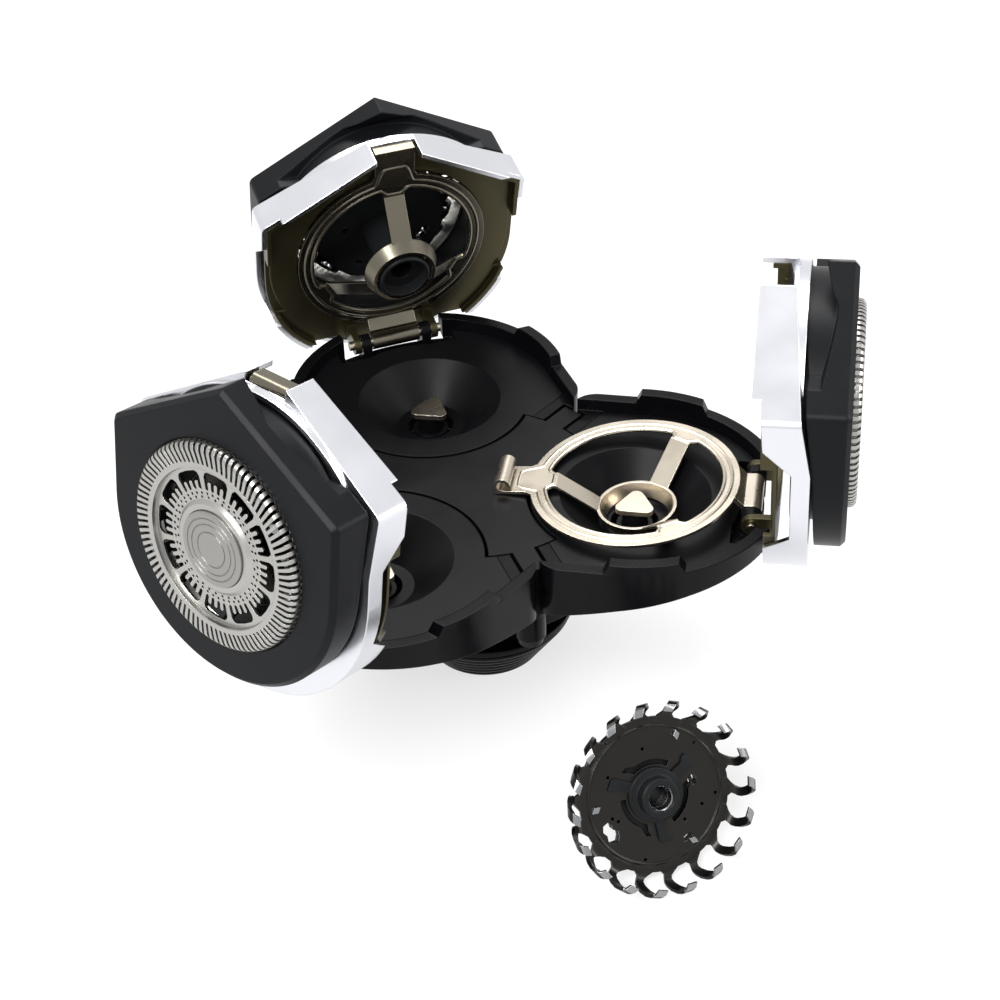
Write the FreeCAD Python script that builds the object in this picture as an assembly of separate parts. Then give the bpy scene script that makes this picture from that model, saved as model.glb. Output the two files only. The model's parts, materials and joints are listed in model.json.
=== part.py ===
import FreeCAD, Part
import math
import os

# Rotary shaver head: three hinged lids stand open on three tilting lobes round a gearbox.
# Millimetres. The origin is the centre of the coupling's lower face, +Z up the head axis.
# Each unit is drawn in its own frame with the lid closed: X points from the head axis to the
# unit's outer end, and the unit is then turned to its place and its lid opened.

V = FreeCAD.Vector

# Layout of the head. The lid's outline has the frame's radius about a point past the spindle.
spindle_pitch = 17.0
frame_radius = 15.6
unit_angle = {"rear": 90.0, "right": -30.0, "left": 210.0}
lid_opening = {"rear": 75.9, "right": 88.0, "left": 81.6}
half_sector = 180.0 / len(unit_angle)
root3 = math.tan(math.radians(half_sector))

# Running and seating clearances, and how far a cutting solid reaches past the face it cuts
running_gap = 0.05
seat_gap = 0.02
loose_gap = 0.4
over = 1.0

# Coupling collar
collar_radius = 6.0
collar_bore = 4.4
collar_height = 7.0
collar_flange_radius = 8.2
collar_flange = 1.4

# Gearbox: the flare is (radius, height above the collar) from the neck up to the wells
housing_wall = 0.9
housing_floor = 0.8
housing_floor_z = 13.0
housing_flare = [(8.8, 0.0), (9.7, 1.8), (12.7, 4.65)]
housing_chamfer = 0.9
gear_width = 2.0
gear_side_gap = 0.2
cover_thickness = 0.7
cover_step = 0.3

# Gears: module, teeth and tooth form
gear_module = 0.5
central_teeth = 51
spindle_teeth = 17
tooth_addendum = 0.45
tooth_dedendum = 0.6
tooth_root_share = 0.30
tooth_tip_share = 0.13
central_rim = 1.2
central_web = 0.9
central_shaft_radius = 2.4
central_shaft_z = 1.6
central_socket_radius = 1.5
central_socket_depth = 4.0

# Spindle: hollow shaft, spring, plunger and tip
spindle_tip_z = 21.65
spindle_travel = 1.8
tip_thickness = 0.6
tip_inradius = 1.5
tip_corner = 0.75
tip_heading = 90.0
shaft_radius = 2.0
plunger_radius = 1.4
plunger_length = 3.4
plunger_bore_radius = 1.0
plunger_bore_depth = 2.6
stub_radius = 0.8
stub_height = 0.8
spring_seat = 0.4
spring_radius = 0.75
spring_wire = 0.25
spring_turns = 5
spring_sides = 8

# Lobes: the bowl is (radius, height) about its own axis at bowl_x
deck_z = 23.1
deck_thickness = 1.1
disc_radius = 11.4
lobe_radius = frame_radius + 0.3
lobe_wall = 1.3
lobe_corner = 3.0
lobe_gap = 0.25
wall_top_z = 24.6
raised_wall = 1.15
raised_from_x = 16.0
raised_to_x = 23.0
raised_slope = 0.6
ledge = 0.8
bowl_x = 6.0
bowl_curve = [(9.0, 17.0), (13.5, 17.4), (16.2, 18.3), (19.3, 19.8), (23.0, 21.3), (27.0, 22.6)]
bowl_skin = 1.2
bowl_hole_radius = 8.2
passage_room = 0.8
passage_rise = 1.3
chamber_radius = 8.2
chamber_floor_radius = 3.9
chamber_depth = 3.8
chamber_skin = 0.9
spindle_hole_radius = 2.6

# Central plate, its legs, the pivots of the lobes and the screws
plate_thickness = 1.5
plate_gap = 0.35
plate_reach = 13.1
leg_inset = 0.4
leg_length = 3.6
leg_half = 1.2
post_radius = 4.9
pivot_x = 9.0
pivot_z = 21.0
pivot_radius = 0.6
pivot_length = 3.8
pivot_root = 1.8
screw_radius = 0.7
screw_head_radius = 1.35
screw_head = 0.9
screw_grip = 4.0

# Hinge of the lid and bracket
hinge_x = spindle_pitch + frame_radius - 2.88
hinge_z = 23.86
pin_radius = 0.55
pin_half = 5.7
ear_radius = 1.1
ear_root = 0.4
lobe_ear_near = 3.15
lobe_ear = 1.1
lid_ear_near = 4.4
lid_ear = 0.8
bay_half = 6.2
bay_side = 1.0
bay_depth = 2.0
bay_floor_z = 21.9

# Bracket: heights are above the hinge axis
sheet = 0.35
bracket_rise = 1.7
bracket_outer = frame_radius - 4.32
bracket_inner = bracket_outer - 1.68
bracket_spokes = 3
spoke_width = 2.4
spoke_root = 0.3
spoke_bend_radius = bracket_inner - 1.2
hub_radius = 4.35
hub_hole_radius = 3.35
hub_drop = 2.96
hub_height = 1.55
barrel_half = 2.9
barrel_overlap = 0.7
barrel_step = 0.9
tab_half = 2.3
pad_radius = 2.9
curl_x = 2.9
curl_radius = 0.92
curl_rise = 1.9
rest_gap = 0.05

# Lid: frame, liner and cap holder, heights above the hinge axis
lid_gap = 0.2
frame_end = 1.7
frame_wall = 0.55
frame_corner = 1.0
frame_roof = 0.8
frame_roof_line = [(-1.0, 3.25), (15.3, 6.0)]
frame_rim = [(8.0, 0.2), (8.0, 1.1), (12.5, 1.4), (15.2, 4.2), (23.5, 4.2), (25.4, 1.6), (30.2, 1.6)]
frame_band = 4.2
collar_ring = 0.5
collar_ring_inset = 1.15
collar_ring_top = 4.95
collar_ring_foot = 3.1
liner_thickness = 0.5
liner_wall = 0.5
liner_top = 2.8
liner_rim = [(15.0, 1.2), (15.0, 2.5), (23.7, 2.5), (23.7, 1.6), (29.9, 1.6)]
liner_opening = bracket_outer + seat_gap
liner_end = 1.1
notch_end = 4.2
notch_top = 3.85
notch_side = 0.3
holder_gap = 0.35
holder_radius = frame_radius - 0.9
holder_top = 9.7
holder_corner = 1.0
holder_bevel = 0.5
holder_arch = [(-1.0, 6.2), (0.4, 6.5), (2.1, 7.2), (2.9, 7.85), (3.9, 7.75), (5.6, 7.2), (7.4, 6.6)]
holder_rim = [(7.4, 5.3), (9.2, 5.4), (17.0, 6.25), (33.0, 6.75)]
holder_rise = 0.7
neck_low = 4.0
neck_radius = frame_radius - 3.5
neck_gap = 0.35
shoulder_radius = frame_radius - 1.9

# Shaving cap and its disc
cap_radius = neck_radius - 1.41
cap_seat_gap = 0.1
cap_skin = 0.3
cap_low = 7.4
cap_shoulder = 0.7
cap_proud = 0.9
cap_ring_inner = cap_radius - 2.39
cap_ring_slope = 0.2
cap_step = 0.5
cap_web_inner = 4.9
cap_web_rise = 0.3
cap_web_slope = 0.4
cap_slots = 30
cap_slot_width = 0.45
cap_slot_inner = cap_radius - 1.89
cap_slot_outer = cap_radius - 0.34
cap_windows = 12
cap_window_width = 1.5
cap_window_inner = cap_ring_inner - 2.3
cap_window_outer = cap_ring_inner - 0.6
disc_hole_radius = 3.95
disc_pin_radius = 1.25
disc_pin_length = 3.4
disc_thickness = 0.6
disc_groove_radius = 2.6
disc_groove_width = 0.5
disc_groove_depth = 0.15

# Cutter: carrier with stem, and blade ring
carrier_radius = cap_radius - 2.69
carrier_thickness = 0.6
carrier_drop = 3.4
hub_tube_radius = 2.05
hub_tube_height = 2.3
hub_bore_depth = 1.2
stem_radius = 2.3
stem_end_radius = 2.95
stem_end_length = 2.4
stem_overlap = 0.85
socket_depth = 1.3
socket_gap = 0.35
blade_count = 18
blade_width = 0.6
blade_foot = 0.5
blade_lean_height = 2.3
blade_reach = cap_radius - 0.54
blade_bevel = 0.4
blade_top_depth = 0.8
blade_top_inner = blade_reach - 1.35
blade_ring_inner = carrier_radius - 2.6
blade_ring = 0.4
blade_gap = 0.05

# Where the loose cutter's disc stands on the surface
loose_cutter_x = 4.75
loose_cutter_y = -36.4

# Heights and radii worked out from the sizes above
gear_z = housing_floor_z + housing_floor + gear_side_gap
gear_top_z = gear_z + gear_width
cover_z = gear_top_z + gear_side_gap
cover_top_z = cover_z + cover_thickness
central_pitch_radius = gear_module * central_teeth / 2
spindle_pitch_radius = gear_module * spindle_teeth / 2
central_well_radius = central_pitch_radius + tooth_addendum + gear_side_gap
spindle_well_radius = spindle_pitch_radius + tooth_addendum + gear_side_gap
leg_start = central_well_radius - leg_inset
leg_reach = leg_start + leg_length
screw_place = (leg_start + leg_reach) / 2
lug_radius = screw_radius + housing_wall + running_gap
tip_low_z = spindle_tip_z - tip_thickness
shaft_top_z = tip_low_z - spindle_travel - gear_side_gap
plunger_low_z = tip_low_z - plunger_length
stub_bore_z = gear_z + stub_height + gear_side_gap
spring_floor_z = stub_bore_z + spring_seat
spring_top_z = plunger_low_z + plunger_bore_depth
deck_low_z = deck_z - deck_thickness
chamber_floor_z = deck_z - chamber_depth
notch_offset = leg_half + loose_gap
bracket_low_z = hinge_z + bracket_rise
bowl_hole_z = bowl_curve[0][1] + bowl_skin + over
curl_z = bracket_low_z + curl_rise - curl_radius
frame_end_x = spindle_pitch + frame_end
lid_far_x = frame_end_x + frame_radius + over
ring_hole_radius = neck_radius + neck_gap
cap_top_z = hinge_z + holder_top + cap_proud
cap_under_z = cap_top_z - cap_skin
carrier_top_z = cap_under_z - blade_gap - carrier_drop
stem_low_z = spindle_tip_z - stem_overlap


def box(x0, x1, y0, y1, z0, z1):
    return Part.makeBox(x1 - x0, y1 - y0, z1 - z0, V(x0, y0, z0))


def rod(radius, z0, z1, x=spindle_pitch, y=0.0):
    return Part.makeCylinder(radius, z1 - z0, V(x, y, z0))


def cross_rod(radius, y0, y1, x, z):
    """A cylinder across the unit, along its Y axis."""
    return Part.makeCylinder(radius, y1 - y0, V(x, y0, z), V(0, 1, 0))


def turned(points, x=spindle_pitch):
    """A solid of revolution about the upright axis at x, from (radius, height) points."""
    wire = Part.makePolygon([V(x + r, 0, z) for r, z in points + points[:1]])
    return Part.Face(wire).revolve(V(x, 0, 0), V(0, 0, 1), 360)


def side_profile(points, half):
    """A plate across the unit with its outline given as (x, z) points."""
    wire = Part.makePolygon([V(x, -half, z) for x, z in points + points[:1]])
    return Part.Face(wire).extrude(V(0, 2 * half, 0))


def lid_band(low, high):
    """Across the lid, what lies between two lines of (x, height above the hinge) points."""
    points = [(x, hinge_z + w) for x, w in low + high[::-1]]
    return side_profile(points, lobe_radius + over)


def fused(shapes):
    return shapes[0].multiFuse(shapes[1:]).removeSplitter()


def round_upright(solid, radius, places):
    """Rounds the upright edges that stand at the given (x, y) places."""
    edges = []
    for edge in solid.Edges:
        a = edge.Vertexes[0].Point
        b = edge.Vertexes[-1].Point
        upright = abs(a.x - b.x) + abs(a.y - b.y) < 1e-6
        if upright and any(math.hypot(a.x - x, a.y - y) < 1e-3 for x, y in places):
            edges.append(edge)
    return solid.makeFillet(radius, edges)


def unit_prism(gap, radius, z0, z1, corner=0.0, end=spindle_pitch):
    """A unit's outline: straight sides along its neighbours, then an outer end round about end."""
    nose = V(2 * gap / root3, 0, z0)
    shoulder = nose.x + radius / root3
    left_corner = V(shoulder, radius, z0)
    right_corner = V(shoulder, -radius, z0)
    arc_start = V(end, radius, z0)
    arc_end = V(end, -radius, z0)
    arc_middle = V(end + radius, 0, z0)
    edges = [
        Part.LineSegment(nose, right_corner).toShape(),
        Part.LineSegment(right_corner, arc_end).toShape(),
        Part.Arc(arc_end, arc_middle, arc_start).toShape(),
        Part.LineSegment(arc_start, left_corner).toShape(),
        Part.LineSegment(left_corner, nose).toShape(),
    ]
    solid = Part.Face(Part.Wire(edges)).extrude(V(0, 0, z1 - z0))
    if corner:
        places = [(shoulder, radius), (shoulder, -radius)]
        solid = round_upright(solid, corner, places)
    return solid


def border_box(reach, offset, z0, z1, side):
    """A box laid along the border with a neighbour, out to reach and in to the offset."""
    solid = box(0, reach, -over, offset, z0, z1)
    solid.rotate(V(0, 0, 0), V(0, 0, 1), -half_sector)
    return solid if side < 0 else solid.mirror(V(0, 0, 0), V(0, 1, 0))


def round_copies(shape, count, x=spindle_pitch, start=0.0):
    copies = []
    for i in range(count):
        copy = shape.copy()
        copy.rotate(V(x, 0, 0), V(0, 0, 1), start + 360.0 * i / count)
        copies.append(copy)
    return copies


def on_units(shape):
    """One copy at each unit of the head."""
    return round_copies(shape, len(unit_angle), 0.0, unit_angle["rear"])


def on_borders(shape):
    """One copy at each border between two units."""
    return round_copies(shape, len(unit_angle), 0.0, unit_angle["rear"] + half_sector)


def opened(shape, angle):
    """Turns a lid's piece up about the hinge."""
    swung = shape.copy()
    swung.rotate(V(hinge_x, 0, hinge_z), V(0, 1, 0), angle)
    return swung


def placed(shape, unit):
    """Turns a piece from the unit's frame to the unit's place on the head."""
    seated = shape.copy()
    seated.rotate(V(0, 0, 0), V(0, 0, 1), unit_angle[unit])
    return seated


def gear(teeth, z0, z1, x, first_tooth):
    """A spur gear with straight-sided teeth, one of them centred at first_tooth degrees."""
    pitch_radius = gear_module * teeth / 2
    root = pitch_radius - tooth_dedendum
    tip = pitch_radius + tooth_addendum
    step = 360.0 / teeth
    corners = [(root, -tooth_root_share), (tip, -tooth_tip_share)]
    corners += [(tip, tooth_tip_share), (root, tooth_root_share)]
    points = []
    for i in range(teeth):
        for radius, share in corners:
            a = math.radians(first_tooth + step * (i + share))
            points.append(V(x + radius * math.cos(a), radius * math.sin(a), z0))
    wire = Part.makePolygon(points + points[:1])
    return Part.Face(wire).extrude(V(0, 0, z1 - z0))


def rounded_triangle(inradius, corner, z0, z1):
    """A three-cornered prism on the spindle with rounded corners, turned to the tip's heading."""
    places = []
    for k in range(3):
        a = math.radians(tip_heading + 120.0 * k)
        places.append((spindle_pitch + 2 * inradius * math.cos(a), 2 * inradius * math.sin(a)))
    wire = Part.makePolygon([V(x, y, z0) for x, y in places + places[:1]])
    solid = Part.Face(wire).extrude(V(0, 0, z1 - z0))
    return round_upright(solid, corner, places)


# Base

def coupling_collar():
    """The spigot that goes into the handle, with a flange against the housing."""
    flange_z = collar_height - collar_flange
    profile = [(collar_bore, 0.0), (collar_radius, 0.0), (collar_radius, flange_z)]
    profile += [(collar_flange_radius, flange_z), (collar_flange_radius, collar_height)]
    profile += [(collar_bore, collar_height)]
    return turned(profile, 0.0)


def well_plan(radius_over, z0, z1):
    """The gear wells, or their outside when radius_over is a wall thickness."""
    pieces = [rod(central_well_radius + radius_over, z0, z1, 0.0)]
    return pieces + on_units(rod(spindle_well_radius + radius_over, z0, z1))


def gearbox_housing():
    """Lower casing: a flared neck, gear wells, and a stub for each spindle gear to turn on."""
    outer = central_well_radius + housing_wall
    neck = [(0.0, collar_height)]
    neck += [(r, collar_height + h) for r, h in housing_flare]
    neck += [(outer, housing_floor_z), (outer, cover_z), (0.0, cover_z)]
    end = spindle_well_radius + housing_wall
    arm = turned([
        (0.0, housing_floor_z), (end - housing_chamfer, housing_floor_z),
        (end, housing_floor_z + housing_chamfer), (end, cover_z), (0.0, cover_z),
    ])
    lug = rod(lug_radius, housing_floor_z, cover_z, screw_place)
    body = fused([turned(neck, 0.0)] + on_units(arm) + on_borders(lug))
    wells = fused(well_plan(0.0, housing_floor_z + housing_floor, cover_z + over))
    shaft_bore = rod(central_shaft_radius + running_gap, 0, cover_z, 0.0)
    screw_bore = rod(screw_radius + seat_gap, 0, cover_z + over, screw_place)
    pocket = rod(screw_head_radius + seat_gap, 0, housing_floor_z, screw_place)
    body = body.cut(wells).cut(shaft_bore).cut(Part.makeCompound(on_borders(fused([screw_bore, pocket]))))
    stub = rod(stub_radius, housing_floor_z, gear_z + stub_height)
    return fused([body] + on_units(stub))


def gearbox_cover():
    """Upper casing: a flat plate over the wells, with bearings for the shafts."""
    lug = rod(lug_radius, cover_z, cover_top_z, screw_place)
    boss = rod(shaft_radius + housing_wall, cover_z, cover_top_z + cover_step)
    body = fused(well_plan(housing_wall, cover_z, cover_top_z) + on_borders(lug) + on_units(boss))
    top = cover_top_z + over
    holes = on_units(rod(shaft_radius + running_gap, 0, top))
    holes += on_borders(rod(screw_radius + seat_gap, 0, top, screw_place))
    holes.append(rod(central_socket_radius + running_gap, 0, top, 0.0))
    return body.cut(Part.makeCompound(holes))


def central_gear():
    """The large gear with a thin web, on the shaft that the motor turns."""
    wheel = gear(central_teeth, gear_z, gear_top_z, 0.0, unit_angle["rear"])
    rim = central_pitch_radius - tooth_dedendum - central_rim
    hub = central_shaft_radius + housing_wall
    recess = rod(rim, gear_z + central_web, gear_top_z + over, 0.0)
    wheel = wheel.cut(recess.cut(rod(hub, 0, gear_top_z + over, 0.0)))
    shaft = rod(central_shaft_radius, central_shaft_z, gear_top_z, 0.0)
    journal = rod(central_socket_radius, gear_z, cover_top_z, 0.0)
    socket = rod(central_socket_radius, 0, central_shaft_z + central_socket_depth, 0.0)
    return fused([wheel, shaft, journal]).cut(socket)


def central_plate():
    """Three-armed plate between the lobes, on a centre post and three legs with pivot pins."""
    low = deck_z - plate_thickness
    scoop = rod(disc_radius + plate_gap, low - over, deck_z + over)
    star = rod(plate_reach, low, deck_z, 0.0).cut(Part.makeCompound(on_units(scoop)))
    leg = box(leg_start, leg_reach, -leg_half, leg_half, cover_top_z, deck_z)
    post = rod(post_radius, cover_top_z, deck_z - plate_thickness / 2, 0.0)
    pieces = [star, post] + on_borders(leg)
    for side in (-1, 1):
        end = side * (root3 * pivot_x - pivot_root)
        start = end - side * pivot_length
        pieces += on_units(cross_rod(pivot_radius, min(start, end), max(start, end), pivot_x, pivot_z))
    hollow = rod(post_radius - housing_wall, cover_top_z, low, 0.0)
    thread = rod(screw_radius + seat_gap, cover_top_z, cover_top_z + screw_grip, screw_place)
    return fused(pieces).cut(hollow).cut(Part.makeCompound(on_borders(thread)))


def housing_screws():
    """Three screws from below, through housing and cover into the plate's legs."""
    head = rod(screw_head_radius, housing_floor_z - screw_head, housing_floor_z, screw_place)
    shank = rod(screw_radius, housing_floor_z, cover_top_z + screw_grip - loose_gap, screw_place)
    return Part.makeCompound(on_borders(fused([head, shank])))


# Spindle

def spindle_gear():
    """Gear and hollow shaft in one, on the housing's stub; the plunger slides in it."""
    wheel = gear(spindle_teeth, gear_z, gear_top_z, spindle_pitch, 0.0)
    body = fused([wheel, rod(shaft_radius, gear_z, shaft_top_z)])
    body = body.cut(rod(stub_radius + running_gap, 0, stub_bore_z))
    return body.cut(rod(plunger_radius + running_gap, spring_floor_z, shaft_top_z + over))


def spindle_spring():
    """Coil of square wire between the gear's floor and the plunger, laid in straight lengths."""
    count = spring_turns * spring_sides
    low_z = spring_floor_z + seat_gap
    climb = (spring_top_z - seat_gap - spring_wire - low_z) / count
    inner = spring_radius - spring_wire / 2
    outer = spring_radius + spring_wire / 2
    corners = [(inner, 0.0), (outer, 0.0), (outer, spring_wire), (inner, spring_wire)]
    sections = []
    for i in range(count + 1):
        a = 2 * math.pi * i / spring_sides
        z = low_z + i * climb
        place = [V(spindle_pitch + r * math.cos(a), r * math.sin(a), z + h) for r, h in corners]
        sections.append(place)
    outlines = [sections[0], sections[-1]]
    for a, b in zip(sections, sections[1:]):
        for k in range(len(corners)):
            n = (k + 1) % len(corners)
            outlines.append([a[k], a[n], b[n]])
            outlines.append([a[k], b[n], b[k]])
    faces = [Part.Face(Part.makePolygon(points + points[:1])) for points in outlines]
    coil = Part.makeSolid(Part.makeShell(faces))
    coil.fix(seat_gap, seat_gap, seat_gap)
    return coil


def spindle_plunger():
    """Plastic rod under the tip, hollow from below for the spring."""
    body = rod(plunger_radius, plunger_low_z, tip_low_z)
    return body.cut(rod(plunger_bore_radius, plunger_low_z - over, spring_top_z))


def spindle_tip():
    """Three-cornered metal tip that drives the cutter."""
    return rounded_triangle(tip_inradius, tip_corner, tip_low_z, spindle_tip_z)


# Lobe

def bowl(raised):
    """The lobe's lower curve, filled up to above its wall; raised lifts the curve."""
    curve = [(r, z + raised) for r, z in bowl_curve]
    top_z = wall_top_z + over
    points = [(0.0, curve[0][1])] + curve + [(curve[-1][0], top_z), (0.0, top_z)]
    return turned(points, bowl_x)


def gearbox_passage():
    """The space kept for the gearbox and its arm, where the bowl is cut away."""
    well = central_well_radius + housing_wall + passage_room
    arm = spindle_well_radius + housing_wall + passage_room
    top = cover_top_z + passage_rise
    return fused([
        rod(well, 0, top, 0.0),
        rod(plate_reach + lid_gap, 0, wall_top_z + over, 0.0),
        box(0, spindle_pitch, -arm, arm, 0, top),
        rod(bowl_hole_radius, 0, bowl_hole_z),
    ])


def hinge_ears(near, width, root_z):
    """Two ears round the hinge pin, each with a straight root down or up to root_z."""
    pieces = []
    low = min(root_z, hinge_z)
    high = max(root_z, hinge_z)
    for side in (-1, 1):
        y0 = min(side * near, side * (near + width))
        pieces.append(cross_rod(ear_radius, y0, y0 + width, hinge_x, hinge_z))
        root = box(hinge_x - ear_radius, hinge_x + ear_radius, y0, y0 + width, low, high)
        pieces.append(root)
    return pieces


def raised_wall_pieces(inner_radius):
    """The lobe's wall where it stands higher, under the cut-outs in the lid's sides."""
    line = [(raised_from_x - raised_slope, wall_top_z - over), (raised_from_x - raised_slope, wall_top_z)]
    line += [(raised_from_x, wall_top_z + raised_wall), (raised_to_x, wall_top_z + raised_wall)]
    line += [(raised_to_x + raised_slope, wall_top_z), (raised_to_x + raised_slope, wall_top_z - over)]
    high = wall_top_z + raised_wall
    wall = rod(lobe_radius, wall_top_z - over, high).cut(rod(inner_radius, 0, high + over))
    return wall.common(side_profile(line, lobe_radius + over))


def chamber_body(clearance):
    """Outside of the hair chamber under the deck, grown by a clearance."""
    low_z = chamber_floor_z - chamber_skin - clearance
    foot = chamber_floor_radius + chamber_skin / 2 + clearance
    rim = chamber_radius + chamber_skin + clearance
    return turned([(0.0, low_z), (foot, low_z), (rim, deck_low_z), (0.0, deck_low_z)])


def lobe_shell():
    """Outer bowl of a lobe, with a ledge for the deck, hinge ears and pivot holes."""
    foot_z = bowl_curve[0][1]
    top_z = wall_top_z + over
    body = unit_prism(lobe_gap, lobe_radius, foot_z, wall_top_z, lobe_corner).common(bowl(0.0))
    inner_radius = lobe_radius - lobe_wall
    side = notch_offset + lobe_wall
    upper = unit_prism(side, inner_radius, deck_low_z, top_z)
    lower = unit_prism(side + ledge, inner_radius - ledge, foot_z, deck_low_z)
    above_deck = unit_prism(-lobe_wall, inner_radius, deck_z, top_z)
    body = body.cut(fused([upper, lower.common(bowl(bowl_skin))])).cut(above_deck)
    body = body.fuse(raised_wall_pieces(inner_radius))
    for border in (-1, 1):
        body = body.cut(border_box(leg_reach + loose_gap, notch_offset, 0, top_z, border))
    body = body.cut(gearbox_passage()).cut(chamber_body(running_gap))
    near = hinge_x - bay_depth
    wide = bay_half + bay_side
    block = box(near, hinge_x + bay_depth, -wide, wide, foot_z, bay_floor_z).common(bowl(0.0))
    bay = box(near, hinge_x + frame_radius, -bay_half, bay_half, bay_floor_z, top_z)
    body = fused([body, block]).cut(bay)
    body = fused([body] + hinge_ears(lobe_ear_near, lobe_ear, bay_floor_z - ear_root))
    bores = [cross_rod(pin_radius + seat_gap, -bay_half, bay_half, hinge_x, hinge_z)]
    reach = root3 * pivot_x
    for start in (-reach, reach / 2):
        bores.append(cross_rod(pivot_radius + running_gap, start, start + reach / 2, pivot_x, pivot_z))
    return body.cut(Part.makeCompound(bores))


def lobe_deck():
    """Deck with the conical hair chamber round the spindle."""
    top_z = deck_z + over
    side = notch_offset + lobe_wall + running_gap
    outer = unit_prism(side, lobe_radius - lobe_wall - running_gap, deck_low_z, deck_z)
    outer = outer.cut(rod(plate_reach + lid_gap, 0, top_z, 0.0))
    near = hinge_x - bay_depth - running_gap
    wide = bay_half + bay_side + running_gap
    outer = outer.cut(box(near, hinge_x + frame_radius, -wide, wide, 0, top_z))
    disc = rod(disc_radius, deck_low_z, deck_z)
    floor_z = chamber_floor_z
    hollow = [(0.0, floor_z), (chamber_floor_radius, floor_z), (chamber_radius, deck_z)]
    hollow += [(chamber_radius, top_z), (0.0, top_z)]
    body = fused([outer, disc, chamber_body(0.0)]).cut(turned(hollow))
    return body.cut(rod(spindle_hole_radius, 0, floor_z + over))


def hinge_pin():
    return cross_rod(pin_radius, -pin_half, pin_half, hinge_x, hinge_z)


# Lid

def nose_notch():
    """The notch at the lid's nose where the bracket's tab and curl sit, below the frame's ring."""
    half = tab_half + notch_side
    return box(-over, notch_end, -half, half, 0, hinge_z + notch_top)


def lid_frame():
    """Silver frame: side walls cut out at each side, a roof that climbs outward and a raised ring."""
    low_z = hinge_z + frame_rim[0][1]
    high_z = hinge_z + frame_roof_line[-1][1] + over
    far = (lid_far_x, frame_band)
    rim = [(-over, frame_rim[0][1])] + frame_rim + [(frame_rim[-1][0], frame_band), far]
    roof = frame_roof_line + [(lid_far_x, frame_roof_line[-1][1])]
    under = [(x, w - frame_roof) for x, w in roof]
    floor = [(-over, -over), (lid_far_x, -over)]
    outer = unit_prism(lid_gap, frame_radius, low_z, high_z, frame_corner, frame_end_x)
    inner = frame_radius - frame_wall
    cavity = unit_prism(lid_gap + frame_wall, inner, 0, high_z, 0.0, frame_end_x)
    ring_outer = frame_radius - collar_ring_inset
    ring_top_z = hinge_z + collar_ring_top
    ring = rod(ring_outer, hinge_z + collar_ring_foot, ring_top_z).common(outer)
    body = fused([outer.common(lid_band(rim, roof)), ring]).cut(cavity.common(lid_band(floor, under)))
    well = rod(ring_outer - collar_ring, 0, high_z).cut(lid_band(floor, roof))
    hole = rod(neck_radius + neck_gap, 0, high_z)
    return body.cut(well).cut(hole).cut(nose_notch())


def lid_liner():
    """Thin plate under the frame's roof, with a wall inside the frame's and the hinge's ears."""
    top_z = hinge_z + liner_top
    room = lid_gap + frame_wall + running_gap
    outer_radius = frame_radius - frame_wall - running_gap
    inner_radius = outer_radius - liner_wall
    rim = [(-over, liner_rim[0][1])] + liner_rim + [(liner_rim[-1][0], liner_top), (lid_far_x, liner_top)]
    floor = [(-over, -over), (lid_far_x, -over)]
    outer = unit_prism(room, outer_radius, hinge_z, top_z, 0.0, frame_end_x)
    inner = unit_prism(room + liner_wall, inner_radius, 0, top_z - liner_thickness, 0.0, frame_end_x)
    plate = outer.cut(inner).cut(lid_band(floor, rim).cut(rod(inner_radius, top_z - liner_thickness, top_z)))
    plate = plate.cut(rod(liner_opening, 0, top_z + over)).cut(nose_notch())
    plate = plate.cut(box(hinge_x + liner_end, lid_far_x, -frame_radius, frame_radius, 0, top_z + over))
    body = fused([plate] + hinge_ears(lid_ear_near, lid_ear, top_z - liner_thickness / 2))
    return body.cut(cross_rod(pin_radius + running_gap, -bay_half, bay_half, hinge_x, hinge_z))


def cap_holder():
    """Black plate with an arch in each side, over a round shoulder and a neck that tilts."""
    low_z = hinge_z + neck_low
    top_z = hinge_z + holder_top
    plate = unit_prism(holder_gap, holder_radius, low_z, top_z, holder_corner)
    rim = [edge for edge in plate.Edges if min(v.Z for v in edge.Vertexes) > top_z - seat_gap]
    plate = plate.makeChamfer(holder_bevel, rim)
    floor = [(-over, neck_low - over), (lid_far_x, neck_low - over)]
    shoulder_low = [(x, w + holder_rise) for x, w in frame_roof_line]
    shoulder_low += [(lid_far_x, shoulder_low[-1][1])]
    arch = holder_arch + holder_rim + [(lid_far_x, holder_rim[-1][1])]
    plate = plate.cut(lid_band(floor, arch))
    shoulder = rod(shoulder_radius, low_z, top_z - holder_bevel).cut(lid_band(floor, shoulder_low))
    neck = rod(neck_radius, low_z, top_z)
    return fused([plate, shoulder, neck]).cut(rod(cap_radius + cap_seat_gap, 0, top_z + over))


def cap_profile():
    """The cap's skin in section, from its hole outward and back along the inside."""
    half = cap_skin / 2
    web_z = cap_top_z - cap_step
    inner_z = web_z + cap_web_rise
    low_z = hinge_z + cap_low
    rim = cap_radius - cap_shoulder
    shoulder_z = cap_top_z - cap_shoulder
    web_edge = cap_web_inner - cap_web_slope
    ring_edge = cap_ring_inner - cap_ring_slope
    outside = [(disc_hole_radius, inner_z), (web_edge, inner_z), (cap_web_inner, web_z)]
    outside += [(ring_edge, web_z), (cap_ring_inner, cap_top_z), (rim, cap_top_z)]
    outside += [(cap_radius, shoulder_z), (cap_radius, low_z)]
    inside = [(cap_radius - cap_skin, low_z), (cap_radius - cap_skin, shoulder_z - half)]
    inside += [(rim - half, cap_under_z), (cap_ring_inner + half, cap_under_z)]
    inside += [(ring_edge + half, web_z - cap_skin), (cap_web_inner - half, web_z - cap_skin)]
    inside += [(web_edge - half, inner_z - cap_skin), (disc_hole_radius, inner_z - cap_skin)]
    return outside + inside


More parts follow.
